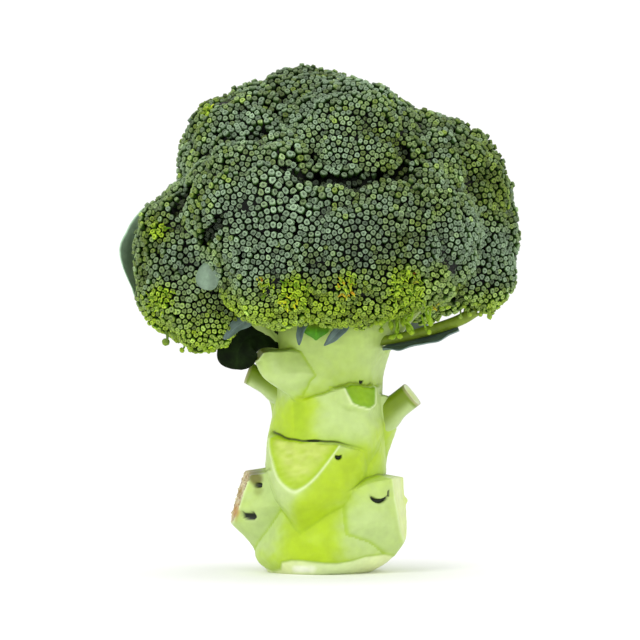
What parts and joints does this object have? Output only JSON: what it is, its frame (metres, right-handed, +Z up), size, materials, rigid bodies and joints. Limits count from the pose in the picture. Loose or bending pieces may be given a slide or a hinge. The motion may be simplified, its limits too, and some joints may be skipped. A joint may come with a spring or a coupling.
{
  "type": "broccoli head",
  "caption": "Broccoli head standing on its cut stalk: a domed crown of budded florets on branches, leaf stubs and small leaves.",
  "frame": {"origin": "on the flat cut across the bottom of the stalk, on the stalk's axis", "axes": "+Z up the stalk towards the crown's top, -Y towards the front, +X to the right seen from the front"},
  "size_m": [0.1445, 0.1335, 0.1821],
  "materials": {
    "stalk": "smooth pale green plant skin with a waxy bloom",
    "buds": "dense closed flower buds, matt with a grey-green bloom",
    "leaf": "waxy blue-green leaf"
  },
  "bodies": {
    "root": {"floret_back": "buds", "floret_back_left": "buds", "floret_front": "buds", "floret_front_left": "buds", "floret_front_low": "buds", "floret_front_right": "buds", "floret_left": "buds", "floret_left_back": "buds", "floret_left_low": "buds", "floret_left_lowest": "buds", "floret_right": "buds", "floret_right_back": "buds", "floret_right_high": "buds", "floret_right_low": "buds", "floret_top": "buds", "floret_upper_back_left": "buds", "floret_upper_back_right": "buds", "floret_upper_front": "buds", "floret_upper_left": "buds", "floret_upper_right": "buds", "leaf_back_left": "leaf", "leaf_back_right": "leaf", "leaf_dark_left": "leaf", "leaf_front": "leaf", "leaf_front_left": "leaf", "leaf_left": "leaf", "leaf_left_low": "leaf", "leaf_right": "leaf", "stalk": "stalk"}
  },
  "joints": []
}
